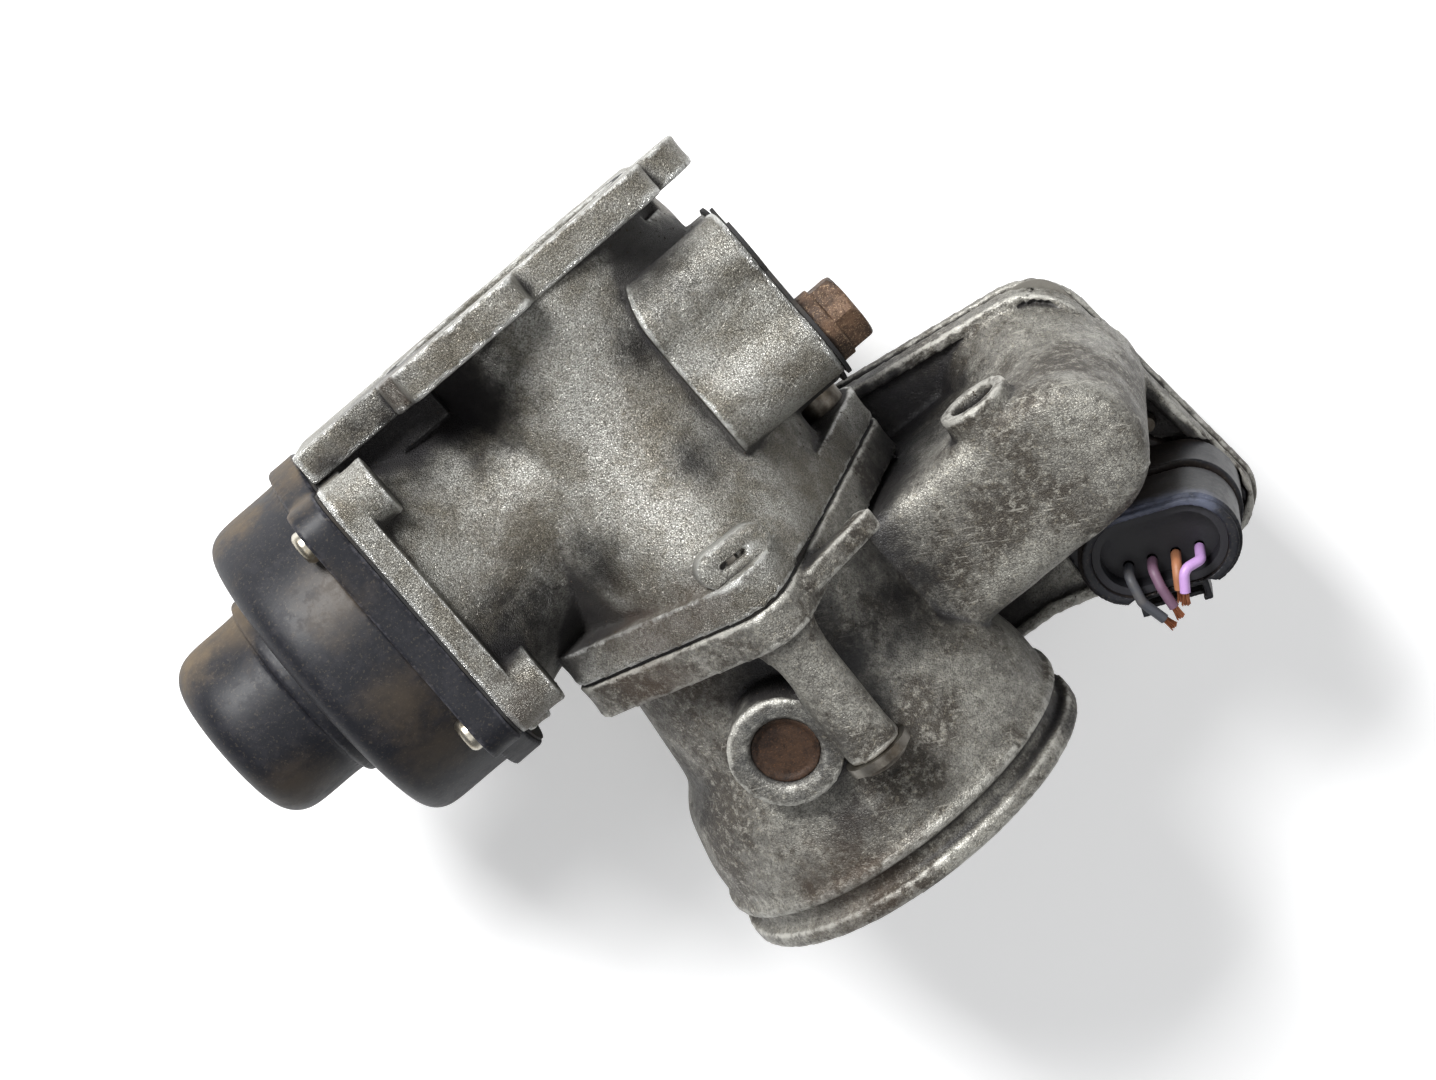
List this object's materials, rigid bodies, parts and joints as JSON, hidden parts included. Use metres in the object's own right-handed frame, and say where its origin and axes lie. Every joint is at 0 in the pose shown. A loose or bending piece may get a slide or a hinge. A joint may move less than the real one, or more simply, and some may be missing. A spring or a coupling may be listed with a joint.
{
  "type": "intake throttle valve",
  "caption": "Intake throttle valve with motor gear case and hose spigot, bolted to a cast mixing duct that carries a gas inlet and its domed black valve actuator.",
  "frame": {"origin": "centre of the manifold flange's face and of its bolt circle", "axes": "+Y out of the manifold flange's face, +X towards the exhaust-gas inlet flange, +Z towards the throttle shaft's closed boss"},
  "size_m": [0.1828, 0.1348, 0.1164],
  "materials": {
    "cast_housing": "grainy sand-cast, light",
    "cast_body": "weathered die-cast, brown grime",
    "black_plastic": "satin, dusty",
    "rubber": "matt",
    "sheet_gasket": "sheet gasket",
    "steel": "dull zinc",
    "rusty_steel": "rust",
    "turned_steel": "turned",
    "bronze": "sintered",
    "copper": "enamelled winding",
    "gear_plastic": "moulded",
    "plug_light": "satin",
    "grey_wire": "sheath",
    "mauve_wire": "sheath",
    "orange_wire": "sheath",
    "violet_wire": "sheath"
  },
  "bodies": {
    "valve_casing": {"mixing_housing": "cast_housing", "manifold_seal": "rubber", "throttle_gasket": "sheet_gasket", "locating_dowel": "steel", "throttle_bolts": "steel", "inlet_gasket": "sheet_gasket", "inlet_bolt": "rusty_steel", "valve_seat": "turned_steel", "guide_bush": "bronze", "valve_spring": "turned_steel", "pole_plate": "steel", "actuator_coil": "copper", "position_sensor": "black_plastic", "actuator_gasket": "rubber", "actuator_cover": "black_plastic", "actuator_screws": "steel", "sensor_cap": "black_plastic", "throttle_body": "cast_body", "shaft_bearings": "turned_steel", "shaft_seals": "rubber", "core_plug": "rusty_steel", "return_spring": "turned_steel", "angle_sensor": "black_plastic", "idler_pin": "steel", "motor": "steel", "motor_screws": "steel", "case_gasket": "rubber", "gear_cover": "cast_body", "case_screws": "steel", "connector_socket": "black_plastic", "connector_pins": "bronze", "harness_plug": "black_plastic", "plug_insert": "plug_light", "plug_latch": "black_plastic", "wire_strands": "copper", "wire_grey": "grey_wire", "wire_mauve": "mauve_wire", "wire_orange": "orange_wire", "wire_violet": "violet_wire"},
    "throttle_rotor": {"throttle_shaft": "turned_steel", "throttle_plate": "turned_steel", "plate_screws": "steel", "sector_gear": "gear_plastic", "sensor_magnet": "steel"},
    "idler": {"idler_gear": "gear_plastic"},
    "motor_rotor": {"motor_pinion": "bronze"},
    "gas_valve": {"exhaust_gas_valve": "turned_steel", "spring_retainer": "steel", "armature": "steel", "sensor_plunger": "turned_steel"}
  },
  "joints": [
    {"name": "throttle_turn", "type": "hinge", "parent": "valve_casing", "child": "throttle_rotor", "pos_m": [-0.00559, -0.09236, -0.00336], "axis": [-0.3019, -0.1115, 0.9468], "range_deg": [0, 84], "stiffness_Nm_per_rad": 0.02},
    {"name": "idler_turn", "type": "hinge", "parent": "valve_casing", "child": "idler", "pos_m": [0.04319, -0.09142, -0.04051], "axis": [-0.3019, -0.1115, 0.9468], "range_deg": [-267.8, 1]},
    {"name": "motor_turn", "type": "hinge", "parent": "valve_casing", "child": "motor_rotor", "pos_m": [0.07211, -0.08615, -0.03067], "axis": [-0.3019, -0.1115, 0.9468], "range_deg": [-1, 1006.7]},
    {"name": "gas_valve_slide", "type": "slide", "parent": "valve_casing", "child": "gas_valve", "axis": [1, 0, 0], "range_m": [0, 0.006], "stiffness_N_per_m": 1500, "springref_m": -0.006, "deforming": ["valve_spring"]}
  ],
  "couplings": [
    {"joint": "idler_turn", "follows": "throttle_turn", "ratio": -3.1765},
    {"joint": "motor_turn", "follows": "throttle_turn", "ratio": 11.973}
  ]
}
